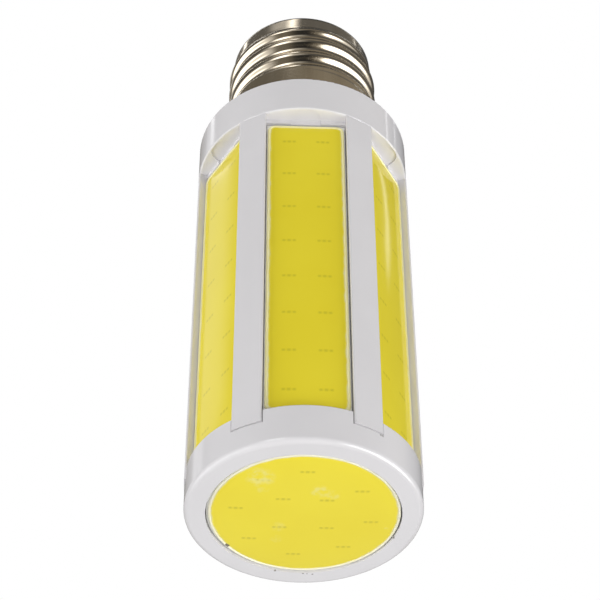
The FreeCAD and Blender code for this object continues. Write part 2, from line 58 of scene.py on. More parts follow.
def extent(node):
    """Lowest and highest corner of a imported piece, in millimetres."""
    low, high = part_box(node)
    return np.array(low) / MM, np.array(high) / MM


gel_low, gel_high = extent("side_gel_1")
dam_low, dam_high = extent("side_dam_1")
board_low = extent("side_board_1")[0]
end_gel_low, end_gel_high = extent("end_gel")
shell_low, shell_high = extent("screw_shell")
insulator_low, insulator_high = extent("cap_insulator")
contact_low, contact_high = extent("centre_contact")

strip_face = -board_low[1]
gel_width = gel_high[0] - gel_low[0]
gel_length = gel_high[2] - gel_low[2]
gel_middle = (gel_high[2] + gel_low[2]) / 2
gel_height = -gel_low[1] - strip_face
gel_corner = 0.9
dam_width = (dam_high[0] - dam_low[0] - gel_width) / 2
dam_height = -dam_low[1] - strip_face
end_gel_radius = (end_gel_high[0] - end_gel_low[0]) / 2
end_gel_x = (end_gel_high[0] + end_gel_low[0]) / 2
end_face_z = end_gel_high[2]
collar_top = shell_low[2]
shell_top = shell_high[2]

# Poured gel, silicone beads and the dies under the gel
strip_dies = 16
end_dies = 12
seen_depth = 0.3  # how far below the round gel's face its dies seem to lie
bead_side = 0.6  # height of a bead's side against the gel, of its own height
bead_crown = 0.36  # place of a bead's top from its inner side, of its width
bead_steps = 13
rim_width = 1.1  # over which the gel rises from the bead
rim_share = 0.2  # of the gel's rise that its rim takes, and the crown the rest
crown_fade = 6.0  # how fast a strip's crown comes up from its ends, a width of the gel as the unit
wave_height = 0.0015
wave_shift = 11.0  # from one strip's waves to the next one's
round_columns = 192  # of the pieces of the round end light

# Rolled cap
crest_radius = 13.15
thread_depth = 1.02
thread_pitch = 3.629
first_crest = 8.85  # above the collar, on the side of the first strip
thread_start = 8.0
thread_run_in = 2.0
thread_run_out = 2.2
thread_end_margin = 3.4
band_setback = 0.15
band_lean = math.radians(4.0)
shoulder_radius = 1.6
sheet_thickness = 0.3
lip_width = 0.64
cap_columns = 180
wall_rows = 150
shoulder_rows = 13
thread_end = shell_top - collar_top - thread_end_margin
band_end = shell_top - collar_top - shoulder_radius * (1 - math.sin(band_lean))
band_radius = crest_radius - thread_depth / 2 - band_setback - (band_end - thread_end) * math.tan(band_lean)
shoulder_reach = band_radius - shoulder_radius * math.cos(band_lean)
mouth_radius = shoulder_reach - lip_width

# Camera, read from the photograph: where it stands, how it looks and its lens
camera_place = (-9.462, -226.018, -166.584)
camera_aim = (0.02919, 0.73225, 0.68041)
camera_roll = -0.003
camera_lens = 113.6

# Dark specks that the photograph shows: x, y, z, radius and strength
speck_colour = (0.11, 0.09, 0.07, 1)
bead_nick = (
    (-11.4, 8.0, 0.2, 0.42, 0.9),
    (-11.1, 8.15, 0.2, 0.36, 0.9),
)
ring_specks = (
    *bead_nick,
    (13.5, 4.98, 0.0, 0.42, 0.75),
    (-3.85, 14.15, 0.0, 0.24, 0.75),
    (0.46, 14.75, 0.0, 0.2, 0.7),
    (1.08, 14.8, 0.0, 0.16, 0.6),
    (1.92, 14.9, 0.0, 0.2, 0.7),
    (10.62, -14.4, 4.09, 0.32, 0.5),
    (10.92, -14.18, 4.09, 0.32, 0.5),
)

# Pale smudges on the round gel: x, y, radius and strength
end_smudges = (
    (-6.6, -8.9, 2.6, 0.75),
    (-6.2, -6.2, 1.2, 0.35),
    (2.2, -5.9, 1.7, 0.75),
    (4.1, -5.2, 1.3, 0.6),
    (-3.7, 2.9, 1.4, 0.35),
    (-3.9, 5.9, 1.2, 0.25),
    (12.4, 3.0, 0.5, 0.7),
)

# Studio that gloss mirrors, later rows over earlier ones: degrees round from the first strip's side,
# degrees above the horizon, half width, half height, soft edge across and up in degrees, and radiance
studio_lamps = (
    (70, 8, 72, 20, 14, 8, 0.13),  # dim room low on the right and on the left, with a glow
    (-85, 26, 34, 15, 10, 7, 0.11),
    (-95, 3, 50, 7, 14, 7, 0.26),
    (20, 78, 200, 24, 4, 3, 0.17),  # dim ceiling, dark further up
    (20, 82, 200, 16, 4, 4, 0.10),
    (148, 40, 34, 24, 8, 8, 0.10),  # dim corner behind on the right
    (-127, 33.5, 10, 14.5, 4, 1.2, 0.8),  # pale wall behind on the left
    (4, -32, 18, 25, 12, 9, 0.035),  # dark front, where the camera stands
    (180, -42, 42, 22, 14, 14, 0.75),  # white sheet behind, below
    (-180, -42, 42, 22, 14, 14, 0.75),
    (-86, -31, 42, 20, 13, 9, 1.3),  # left softbox and its brighter middle
    (-86, -24, 32, 10, 10, 7, 3.2),
    (80, -26, 44, 18, 10, 8, 1.0),  # right softbox in its fringe
    (80, -38, 40, 13, 10, 8, 9.0),
    (-26, 10, 25, 15, 12, 9, 0.7),  # front lamp in its glow
    (-28, 15, 10, 17, 8, 6, 3.6),
    (-42, 68, 18, 12, 16, 3, 0.8),  # high lamp and its glow
    (-20, 68, 6, 12, 10, 3, 3.4),
    (-124, 62, 4, 14, 2, 2, 2.8),  # strip lights behind
    (108.5, 60, 1.3, 15, 0.8, 0.8, 1.8),
    (125.8, 60, 0.6, 16.4, 0.5, 0.6, 2.2),
)

# Walls of that studio, from its left to its right
room_left = (0.19, 0.178, 0.155, 1)
room_right = (0.33, 0.30, 0.25, 1)

# Lamps that only fill: name, degrees round and up, distance and size in metres, and radiance
fill_lamps = (
    ("fill_left", -76, -21, 0.8, 0.6, 3.55),
    ("fill_right", 73, -31, 0.8, 0.6, 3.55),
    ("fill_front", 0, -42, 0.8, 0.6, 1.65),
    ("fill_near", 0, 40, 0.35, 0.26, 0.83),
    ("fill_above", 180, 80, 1.5, 1.0, 5.8),
    ("fill_behind", 180, 10, 0.8, 0.6, 2.6),
)
lamp_aim = 0.05  # height that the lamps face, in metres

# Light tent around the bulb, which gets darker upwards
tent_level = 0.24
tent_slope = -0.12


def smooth(value, low, high):
    """Share that rises from 0 at low to 1 at high along a cubic with level ends."""
    share = np.clip((value - low) / (high - low), 0.0, 1.0)
    return share * share * (3 - 2 * share)


def turned(points, degrees):
    """Points turned about the bulb's axis."""
    angle = math.radians(degrees)
    cosine, sine = math.cos(angle), math.sin(angle)
    x, y, z = points[..., 0], points[..., 1], points[..., 2]
    return np.stack([x * cosine - y * sine, x * sine + y * cosine, z], -1)


def grid_faces(rows, columns, wrap_rows, wrap_columns):
    """Corner numbers of the quads of a grid, whose last row or column may join the first."""
    first_rows = np.arange(rows - (not wrap_rows))
    first_columns = np.arange(columns - (not wrap_columns))
    i, j = (numbers.ravel() for numbers in np.meshgrid(first_rows, first_columns, indexing="ij"))
    i_next, j_next = (i + 1) % rows, (j + 1) % columns
    corners = [i * columns + j, i * columns + j_next, i_next * columns + j_next, i_next * columns + j]
    return np.stack(corners, -1)


def make_piece(name, points, faces, material, replaced):
    """Closed smooth mesh from millimetre points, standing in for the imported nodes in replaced."""
    mesh = bpy.data.meshes.new(name)
    mesh.from_pydata(points * MM, [], faces)
    work = bmesh.new()
    work.from_mesh(mesh)
    bmesh.ops.remove_doubles(work, verts=work.verts, dist=1e-7)
    bmesh.ops.recalc_face_normals(work, faces=work.faces)
    work.to_mesh(mesh)
    work.free()
    mesh.shade_smooth()
    mesh.materials.append(material)
    piece = bpy.data.objects.new(name, mesh)
    bpy.context.scene.collection.objects.link(piece)
    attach(piece, "root")
    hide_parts(*replaced)
    return piece


def corner_places(mesh):
    """Places of all points of a mesh in millimetres, and the point at every corner of its faces."""
    places = np.empty(len(mesh.vertices) * 3)
    mesh.vertices.foreach_get("co", places)
    numbers = np.empty(len(mesh.loops), np.int32)
    mesh.loops.foreach_get("vertex_index", numbers)
    return places.reshape(-1, 3) / MM, numbers


def die_middles(node, count):
    """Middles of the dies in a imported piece, which lie one after the other in its mesh."""
    places = corner_places(frame["nodes"][node].data)[0]
    return places.reshape(count, -1, 3).mean(1)


def mark_gel(piece, flat, dies, edge):
    """Lays two maps on a gel: each corner's place from the die nearest to its face, and its edge distance.

    flat turns millimetre points into places on the gel's face, dies are such places, and edge gives the
    distance of a place from the gel's outline. All corners of one face take the same die.
    """
    mesh = piece.data
    places, numbers = corner_places(mesh)
    spot = flat(places)
    totals = np.empty(len(mesh.polygons), np.int32)
    mesh.polygons.foreach_get("loop_total", totals)
    face_of = np.repeat(np.arange(len(totals)), totals)
    corners = spot[numbers]
    middle = np.stack([np.bincount(face_of, corners[:, k]) / totals for k in range(2)], -1)
    gap = ((middle[:, None, :] - dies[None, :, :]) ** 2).sum(-1)
    nearest = dies[gap.argmin(1)]
    layer = mesh.uv_layers.new(name="from_die")
    layer.data.foreach_set("uv", (corners - nearest[face_of]).astype(np.float32).ravel())
    rim = mesh.attributes.new("edge_mm", "FLOAT", "POINT")
    rim.data.foreach_set("value", edge(spot).astype(np.float32))


def rounded_distance(spot, width, length, corner):
    """Distance of flat places inside a rectangle with round corners from its outline."""
    out = np.abs(spot) - np.array([width, length]) / 2 + corner
    outside = np.linalg.norm(np.maximum(out, 0), axis=-1)
    inside = np.minimum(out.max(-1), 0)
    return np.maximum(corner - outside - inside, 0)


def gel_rise(edge, crown, spot):
    """Height of poured gel: up from the bead's side along a short rim, then on to a low crown.

    edge is the distance from the outline and crown the share of the crown's height. Away from the rim the
    gel has set with slow waves a micron or two high, a sum of three crossed sines.
    """
    share = np.clip(edge / rim_width, 0, 1)
    low = bead_side * dam_height
    a, b = spot[..., 0], spot[..., 1]
    wave = np.sin(0.9 * a + 0.31 * b) + np.sin(0.23 * b - 0.6 * a + 1.7) + np.sin(0.47 * b + 0.4) - 3
    rise = rim_share * (1 - (1 - share) ** 2.2) + (1 - rim_share) * crown
    return low + (gel_height - low) * rise + wave_height * wave * smooth(edge, 0.2, 1.2)


def strip_gel(number, material):
    """Poured gel of one strip.

    Across and along the strip run two parameters from -1 to 1, closer together at the edges. The width
    shrinks along a quarter circle at the ends, which rounds the corners. The crown is a parabola across the
    strip that dies away towards its ends.
    """
    columns, rows = 57, 169
    across = np.sin(np.linspace(-1, 1, columns) * math.pi / 2)
    along = np.linspace(-1, 1, rows)
    along = np.sign(along) * (1 - (1 - np.abs(along)) ** 1.6)
    b = along * gel_length / 2
    into_end = np.clip((np.abs(b) - (gel_length / 2 - gel_corner)) / gel_corner, 0, 1)
    half = gel_width / 2 - gel_corner + gel_corner * np.sqrt(1 - into_end ** 2)
    spot = np.stack(np.broadcast_arrays(half[:, None] * across[None, :], b[:, None]), -1)
    edge = rounded_distance(spot, gel_width, gel_length, gel_corner)
    to_end = gel_length / 2 - np.abs(spot[..., 1])
    crown = (1 - (2 * spot[..., 0] / gel_width) ** 2) * (1 - np.exp(-crown_fade * to_end / gel_width))
    rise = gel_rise(edge, crown, spot + wave_shift * number)
    top = np.stack([spot[..., 0], -strip_face - rise, gel_middle + spot[..., 1]], -1)
    base = np.stack([spot[..., 0], np.full(edge.shape, -strip_face), gel_middle + spot[..., 1]], -1)
    faces = grid_faces(rows, columns, False, False)
    points = np.concatenate([top.reshape(-1, 3), base.reshape(-1, 3)])
    turn = 360 / strip_count * (number - 1)
    every = np.concatenate([faces, faces[:, ::-1] + rows * columns])
    points = turned(points, turn)
    piece = make_piece(f"poured_gel_{number}", points, every, material, [f"side_gel_{number}"])

    def flat(places):
        """Places across and along the strip."""
        upright = turned(places, -turn)
        return np.stack([upright[:, 0], upright[:, 2] - gel_middle], -1)

    def to_rim(spot):
        """Distance of such places from the gel's outline."""
        return rounded_distance(spot, gel_width, gel_length, gel_corner)

    mark_gel(piece, flat, flat(die_middles(f"side_dies_{number}", strip_dies)), to_rim)
    return piece


def bead_section(steps):
    """Section of a silicone bead: place outwards from its inner side, and height.

    The gel stands against its inner side, which is upright. From there it goes over its crown and down to
    the board along two quarters of ellipses.
    """
    crown = bead_crown * dam_width
    first = math.pi - math.asin(bead_side)
    angle = np.linspace(first, 0, steps)
    inner = crown / -math.cos(first)
    offset = crown + np.where(angle > math.pi / 2, inner, dam_width - crown) * np.cos(angle)
    return np.append(0.0, offset), np.append(0.0, dam_height * np.sin(angle))


def strip_bead(number, material):
    """Silicone bead of one strip: a half round section carried round the gel's outline."""
    quarter = 12
    outline = []
    for k, (sign_a, sign_b) in enumerate(((1, 1), (-1, 1), (-1, -1), (1, -1))):
        angle = np.linspace(0, math.pi / 2, quarter) + k * math.pi / 2
        middle = np.array([sign_a * (gel_width / 2 - gel_corner), sign_b * (gel_length / 2 - gel_corner)])
        outward = np.stack([np.cos(angle), np.sin(angle)], -1)
        outline.append((middle + gel_corner * outward, outward))
    place = np.concatenate([spot for spot, outward in outline])
    outward = np.concatenate([out for spot, out in outline])
    offset, height = bead_section(bead_steps)
    flat = place[:, None, :] + outward[:, None, :] * offset[None, :, None]
    rise = np.broadcast_to(height, flat.shape[:2])
    points = np.stack([flat[..., 0], -strip_face - rise, gel_middle + flat[..., 1]], -1)
    faces = grid_faces(len(place), len(offset), True, True)
    turn = 360 / strip_count * (number - 1)
    points = turned(points.reshape(-1, 3), turn)
    return make_piece(f"silicone_bead_{number}", points, faces, material, [f"side_dam_{number}"])


def lathe(name, profile, columns, material, replaced, shift=0.0):
    """Turned piece: a closed profile of (radius, height) carried round the axis or a line beside it."""
    angle = np.arange(columns) / columns * 2 * math.pi
    radius, height = np.array(profile).T
    points = np.stack(np.broadcast_arrays(
        shift + radius[:, None] * np.cos(angle), radius[:, None] * np.sin(angle), height[:, None]), -1)
    faces = grid_faces(len(profile), columns, True, True)
    return make_piece(name, points.reshape(-1, 3), faces, material, replaced)


def end_gel(material):
    """Round gel of the end light: a disc whose height follows the distance from its rim."""
    rings, columns = 72, round_columns
    share = np.sin(np.linspace(0, 1, rings) * math.pi / 2)
    angle = np.arange(columns) / columns * 2 * math.pi
    radius = np.broadcast_to(end_gel_radius * share[:, None], (rings, columns))
    spot = np.stack([radius * np.cos(angle), radius * np.sin(angle)], -1)
    edge = end_gel_radius - radius
    crown = 1 - np.clip(1 - 2 * edge / gel_width, 0, 1) ** 2
    rise = gel_rise(edge, crown, spot)
    rise[0] = rise[0, 0]  # the middle is one point
    spot = spot + np.array([end_gel_x, 0])
    top = np.concatenate([spot, (end_face_z - rise)[..., None]], -1)
    base = np.concatenate([spot, np.full((rings, columns, 1), end_face_z)], -1)
    faces = grid_faces(rings, columns, False, True)
    points = np.concatenate([top.reshape(-1, 3), base.reshape(-1, 3)])
    every = np.concatenate([faces, faces[:, ::-1] + rings * columns])
    piece = make_piece("poured_gel_end", points, every, material, ["end_gel"])
    dies = die_middles("end_dies", end_dies)[:, :2] - np.array([0, seen_depth])

    def flat(places):
        """Places on the round face."""
        return places[:, :2]

    def to_rim(spot):
        """Distance of such places from the gel's outline."""
        return np.maximum(end_gel_radius - np.linalg.norm(spot - np.array([end_gel_x, 0]), axis=-1), 0)

    mark_gel(piece, flat, dies, to_rim)
    return piece


def end_bead(material):
    """Silicone bead of the end light: the half round section carried round the axis."""
    offset, height = bead_section(bead_steps)
    profile = np.stack([end_gel_radius + offset, end_face_z - height], -1)
    return lathe("silicone_bead_end", profile, round_columns, material, ["end_dam"], end_gel_x)


def thread_offset(height, turn):
    """Distance of the cap's wall from its middle radius, at heights above the collar and shares of a turn.

    Crest and root are arcs that meet tangentially, one pitch higher with each turn. The thread fades in
    above the skirt, which is as wide as the crests, and out into the plain band below the shoulder, which
    leans in.
    """
    bend = (thread_depth ** 2 + thread_pitch ** 2 / 4) / (4 * thread_depth)
    phase = ((height - first_crest) / thread_pitch - turn) % 1.0
    from_crest = (0.5 - np.abs(phase - 0.5)) * thread_pitch
    from_top = np.minimum(from_crest, thread_pitch / 2 - from_crest)
    rise = thread_depth / 2 - bend + np.sqrt(bend ** 2 - from_top ** 2)
    rise = np.where(from_crest <= thread_pitch / 4, rise, -rise)
    run_in = smooth(height, thread_start, thread_start + thread_run_in)
    run_out = 1 - smooth(height, thread_end - thread_run_out, thread_end)
    band = band_setback * (1 - run_out) + np.maximum(0, height - thread_end) * math.tan(band_lean)
    return rise * run_in * run_out + thread_depth / 2 * (1 - run_in) - band


def cap_wall(inset, columns):
    """One face of the pressed cap as rows from the skirt over the shoulder to the mouth.

    The radius follows the thread up to the band's end, then a circle over the shoulder to the mouth.
    """
    middle_radius = crest_radius - thread_depth / 2
    turn = np.arange(columns) / columns
    angle = 2 * math.pi * turn - math.pi / 2
    heights = np.linspace(0, band_end, wall_rows)[:, None]
    radius = middle_radius - inset + thread_offset(heights, turn[None, :])
    bend = np.linspace(band_lean, math.pi / 2, shoulder_rows)[1:, None]
    over = shoulder_radius - inset
    bend_radius = np.broadcast_to(shoulder_reach + over * np.cos(bend), (len(bend), columns))
    bend_height = shell_top - collar_top - shoulder_radius + over * np.sin(bend)
    lip_radius = np.full((1, columns), mouth_radius)
    radius = np.concatenate([radius, bend_radius, lip_radius])
    height = np.concatenate([heights, bend_height, bend_height[-1:]])
    return np.stack(np.broadcast_arrays(
        radius * np.cos(angle), radius * np.sin(angle), collar_top + height), -1)


def rolled_cap(material):
    """Pressed cap shell: an outer and an inner wall one sheet apart, joined at foot and mouth."""
    outer = cap_wall(0.0, cap_columns)
    inner = cap_wall(sheet_thickness, cap_columns)
    points = np.concatenate([outer, inner[::-1]])
    faces = grid_faces(len(points), cap_columns, True, True)
    return make_piece("rolled_cap", points.reshape(-1, 3), faces, material, ["screw_shell"])


def arc(centre, radius, first, last, steps):
    """Points of an arc in a profile, between two angles in degrees from the radius outwards."""
    angle = np.radians(np.linspace(first, last, steps))
    return [(centre[0] + radius * math.cos(a), centre[1] + radius * math.sin(a)) for a in angle]


def glass_insulator(material):
    """Black glass under the cap's tip: flange, waist and a cone that sags inwards, turned from one profile.

    The sag is half a sine along the cone, more inwards than down.
    """
    low, high = insulator_low[2], insulator_high[2]
    flange = insulator_high[0]
    foot_edge, lip_edge = 0.2, 0.1
    stem, top_radius = 1.1, 5.4
    waist = mouth_radius - 0.15
    lip_z = shell_top - sheet_thickness - 0.05
    sag_in, sag_down = 0.21, 0.175
    share = np.linspace(0, 1, 15)
    sag = np.sin(math.pi * share)
    cone_radius = waist + (top_radius - waist) * share - sag_in * sag
    cone_z = shell_top + (high - shell_top) * share - sag_down * sag
    profile = [(stem, low)] + arc((flange - foot_edge, low + foot_edge), foot_edge, -90, 0, 5)
    profile += arc((flange - lip_edge, lip_z - lip_edge), lip_edge, 0, 90, 4)
    profile += [(waist, lip_z), *zip(cone_radius, cone_z), (stem, high)]
    return lathe("glass_insulator", profile, 128, material, ["cap_insulator"])


def tip_contact(material):
    """Contact at the cap's tip: a disc with a soft edge and a low solder dome, on a stem through the glass.

    The dome rises along a quarter of a sine from its rim to the axis.
    """
    low, high = contact_low[2], contact_high[2]
    head = contact_high[0]
    bottom = insulator_high[2]
    stem, stem_edge = 1.0, 0.15
    under_edge, rim = 0.1, 0.35
    dome_radius, dome_height = 2.6, 0.32
    flat = high - dome_height
    profile = [(0, low)] + arc((stem - stem_edge, low + stem_edge), stem_edge, -90, 0, 4) + [(stem, bottom)]
    profile += arc((head - under_edge, bottom + under_edge), under_edge, -90, 0, 4)
    profile += arc((head - rim, flat - rim), rim, 0, 90, 8)
    share = np.linspace(0, 1, 12)
    dome_z = flat + dome_height * np.clip(np.sin(math.pi / 2 * share), 0, 1) ** 1.2
    profile += zip(dome_radius * (1 - share), dome_z)
    return lathe("tip_contact", profile, 96, material, ["centre_contact"])


# Materials

class Tree:
    """Short ways of placing nodes in one shader tree."""

    def __init__(self, tree):
        self.tree = tree

    def node(self, kind, inputs=(), **settings):
        """Places a node: settings are its properties, inputs by name or number are values or links."""
        made = self.tree.nodes.new(kind)
        for key, value in settings.items():
            setattr(made, key, value)
        for key, value in dict(inputs).items():
            if isinstance(value, bpy.types.NodeSocket):
                self.tree.links.new(value, made.inputs[key])
            else:
                made.inputs[key].default_value = value
        return made

    def math(self, operation, a, b=0.0):
        """Sum, product or the like of two values."""
        return self.node("ShaderNodeMath", {0: a, 1: b}, operation=operation).outputs[0]

    def ramp(self, value, low, high, start=0.0, end=1.0):
        """Smooth share of a value between two limits."""
        inputs = {"Value": value, "From Min": low, "From Max": high, "To Min": start, "To Max": end}
        return self.node("ShaderNodeMapRange", inputs, interpolation_type="SMOOTHSTEP").outputs["Result"]

    def mix(self, share, a, b):
        """Colour between two others."""
        return self.node("ShaderNodeMix", {0: share, 6: a, 7: b}, data_type="RGBA").outputs[2]

    def noise(self, vector, scale, detail=2.0, rough=0.5):
        """Value of a cloudy pattern."""
        inputs = {"Vector": vector, "Scale": scale, "Detail": detail, "Roughness": rough}
        return self.node("ShaderNodeTexNoise", inputs).outputs["Fac"]

    def group(self, tree, inputs):
        """Outputs of a placed group."""
        return self.node("ShaderNodeGroup", inputs, node_tree=tree).outputs

    def link(self, output, socket):
        """Joins two sockets."""
        self.tree.links.new(output, socket)


VALUE = "NodeSocketFloat"
VECTOR = "NodeSocketVector"


def new_group(name, inputs, outputs):
    """Empty shader group with named sockets. Gives the tree, its input sockets and its output node."""
    tree = bpy.data.node_groups.new(name, "ShaderNodeTree")
    for label, kind in inputs:
        tree.interface.new_socket(label, in_out="INPUT", socket_type=kind)
    for label, kind in outputs:
        tree.interface.new_socket(label, in_out="OUTPUT", socket_type=kind)
    work = Tree(tree)
    entry = work.node("NodeGroupInput")
    leave = work.node("NodeGroupOutput")
    return work, entry.outputs, leave.inputs


def grain_group():
    """Moulded or poured surface: slow change of tone, fine change of gloss, and a fine height."""
    work, given, out = new_group(
        "surface_grain",
        [("Vector", VECTOR), ("Slow Scale", VALUE), ("Fine Scale", VALUE)],
        [("Tone", VALUE), ("Gloss", VALUE), ("Height", VALUE)],
    )
    slow = work.noise(given["Vector"], given["Slow Scale"], 3.0)
    fine = work.noise(given["Vector"], given["Fine Scale"], 2.0)
    work.link(work.ramp(slow, 0.3, 0.7), out["Tone"])
    gloss = work.math("ADD", work.math("MULTIPLY", slow, 0.6), work.math("MULTIPLY", fine, 0.4))
    work.link(gloss, out["Gloss"])
    work.link(fine, out["Height"])
    return work.tree


def speck_group():
    """Sparse specks of dust: the peaks of a fine noise."""
    work, given, out = new_group(
        "dust_specks",
        [("Vector", VECTOR), ("Scale", VALUE), ("Amount", VALUE)],
        [("Mask", VALUE)],
    )
    fine = work.noise(given["Vector"], given["Scale"], 1.0)
    low = work.math("SUBTRACT", 0.86, given["Amount"])
    high = work.math("ADD", low, 0.06)
    work.link(work.ramp(fine, low, high), out["Mask"])
    return work.tree


def spot_group():
    """Soft round spot about a point, in metres."""
    work, given, out = new_group(
        "soft_spot",
        [("Vector", VECTOR), ("Middle", VECTOR), ("Radius", VALUE)],
        [("Mask", VALUE)],
    )
    ends = {0: given["Vector"], 1: given["Middle"]}
    gap = work.node("ShaderNodeVectorMath", ends, operation="DISTANCE").outputs["Value"]
    work.link(work.ramp(work.math("DIVIDE", gap, given["Radius"]), 0.45, 1.0, 1.0, 0.0), out["Mask"])
    return work.tree


def window_group():
    """Lamp with soft edges in the studio, placed by degrees round and above the horizon."""
    labels = ("Azimuth", "Elevation", "Middle Azimuth", "Middle Elevation", "Half Width", "Half Height",
              "Edge Across", "Edge Up")
    work, given, out = new_group("studio_window", [(label, VALUE) for label in labels], [("Mask", VALUE)])
    shares = []
    sides = (("Azimuth", "Half Width", "Edge Across"), ("Elevation", "Half Height", "Edge Up"))
    for angle, half, edge in sides:
        away = work.math("ABSOLUTE", work.math("SUBTRACT", given[angle], given["Middle " + angle]))
        near = work.math("SUBTRACT", given[half], given[edge])
        far = work.math("ADD", given[half], given[edge])
        shares.append(work.ramp(away, near, far, 1.0, 0.0))
    work.link(work.math("MULTIPLY", *shares), out["Mask"])
    return work.tree


def die_group():
    """Shade of a die under the gel, at millimetres from its middle: a chip between two wires' ends."""
    work, given, out = new_group("die_mark", [("Vector", VECTOR)], [("Mask", VALUE)])
    parts = work.node("ShaderNodeSeparateXYZ", {0: given["Vector"]}).outputs
    along = work.math("ABSOLUTE", parts["X"])
    aside = work.math("ABSOLUTE", parts["Y"])

    def patch(gap, near, far, aside_near, aside_far, strength=1.0):
        """Soft patch that fades out between two gaps along the die and two aside of it."""
        fade = work.ramp(gap, near, far, strength, 0.0)
        return work.math("MULTIPLY", fade, work.ramp(aside, aside_near, aside_far, 1.0, 0.0))

    from_wire = work.math("ABSOLUTE", work.math("SUBTRACT", along, 0.8))
    chip = patch(along, 0.1, 0.46, 0.08, 0.42)
    wire = patch(from_wire, 0.06, 0.44, 0.06, 0.38)
    line = patch(along, 0.9, 1.3, 0.05, 0.35, 0.35)
    work.link(work.math("MAXIMUM", line, work.math("MAXIMUM", chip, wire)), out["Mask"])
    return work.tree


surface_grain = grain_group()
dust_specks = speck_group()
soft_spot = spot_group()
studio_window = window_group()
die_mark = die_group()


def new_material(name):
    """Material with its tree, its principled shader and object coordinates."""
    material = bpy.data.materials.new(name)
    material.use_nodes = True
    work = Tree(material.node_tree)
    shader = material.node_tree.nodes["Principled BSDF"]
    place = work.node("ShaderNodeTexCoord").outputs["Object"]
    return material, work, shader, place


def set_bump(work, shader, height, strength, distance):
    """Bump of a height in metres on a shader."""
    bump = work.node("ShaderNodeBump", {"Strength": strength, "Distance": distance, "Height": height})
    work.link(bump.outputs["Normal"], shader.inputs["Normal"])


def finish_of(name, light, dark, rough, slow=90.0, fine=2600.0, bump=0.03, metallic=0.0, ior=1.5):
    """Plain finish that varies: two tones, roughness between two limits and fine bump."""
    material, work, shader, place = new_material(name)
    grain = work.group(surface_grain, {"Vector": place, "Slow Scale": slow, "Fine Scale": fine})
    colour = work.mix(grain["Tone"], (*dark, 1), (*light, 1))
    work.link(colour, shader.inputs["Base Color"])
    work.link(work.ramp(grain["Gloss"], 0.3, 0.7, rough[0], rough[1]), shader.inputs["Roughness"])
    shader.inputs["Metallic"].default_value = metallic
    shader.inputs["IOR"].default_value = ior
    set_bump(work, shader, grain["Height"], bump, 0.00006)
    return material, work, shader, place, colour


def spotted(work, place, colour, spots):
    """Colour with dark specks at places in millimetres, each with a radius and a strength."""
    for x, y, z, radius, strength in spots:
        given = {"Vector": place, "Middle": (x * MM, y * MM, z * MM), "Radius": radius * MM}
        mask = work.math("MULTIPLY", work.group(soft_spot, given)["Mask"], strength)
        colour = work.mix(mask, colour, speck_colour)
    return colour


def white_plastic():
    """Glossy white moulding with a faint lilac cast and a few dark specks at the round end."""
    material, work, shader, place, colour = finish_of(
        "white_plastic", (0.785, 0.77, 0.785), (0.76, 0.745, 0.76), (0.06, 0.10))
    work.link(spotted(work, place, colour, ring_specks), shader.inputs["Base Color"])
    return material


def end_bead_silicone():
    """Pale silicone of the round light's bead, with a dark nick on its left."""
    material, work, shader, place, colour = finish_of(
        "end_bead", (0.93, 0.91, 0.73), (0.91, 0.88, 0.66), (0.30, 0.42), slow=300.0)
    work.link(spotted(work, place, colour, bead_nick), shader.inputs["Base Color"])
    return material


def nickel_plate():
    """Bright nickel on rolled sheet: fine turning lines around the axis and a dull patch here and there."""
    material, work, shader, place = new_material("nickel_plate")
    parts = work.node("ShaderNodeSeparateXYZ", {0: place}).outputs
    angle = work.math("ARCTAN2", parts["X"], parts["Y"])
    around = {"X": work.math("MULTIPLY", angle, 0.004), "Y": parts["Z"]}
    lines = work.noise(work.node("ShaderNodeCombineXYZ", around).outputs[0], 5200.0, 2.0)
    upright = {"X": angle, "Y": work.math("MULTIPLY", parts["Z"], 3.0)}
    patches = work.noise(work.node("ShaderNodeCombineXYZ", upright).outputs[0], 7.0, 3.0)
    tarnish = work.ramp(work.noise(place, 260.0, 4.0), 0.35, 0.75)
    colour = work.mix(patches, (0.50, 0.43, 0.33, 1), (0.66, 0.59, 0.48, 1))
    colour = work.mix(work.math("MULTIPLY", tarnish, 0.35), colour, (0.47, 0.40, 0.30, 1))
    work.link(colour, shader.inputs["Base Color"])
    rough = work.math("ADD", work.ramp(lines, 0.3, 0.7, 0.09, 0.15), work.math("MULTIPLY", tarnish, 0.06))
    work.link(rough, shader.inputs["Roughness"])
    shader.inputs["Metallic"].default_value = 1.0
    set_bump(work, shader, lines, 0.03, 0.00003)
    return material


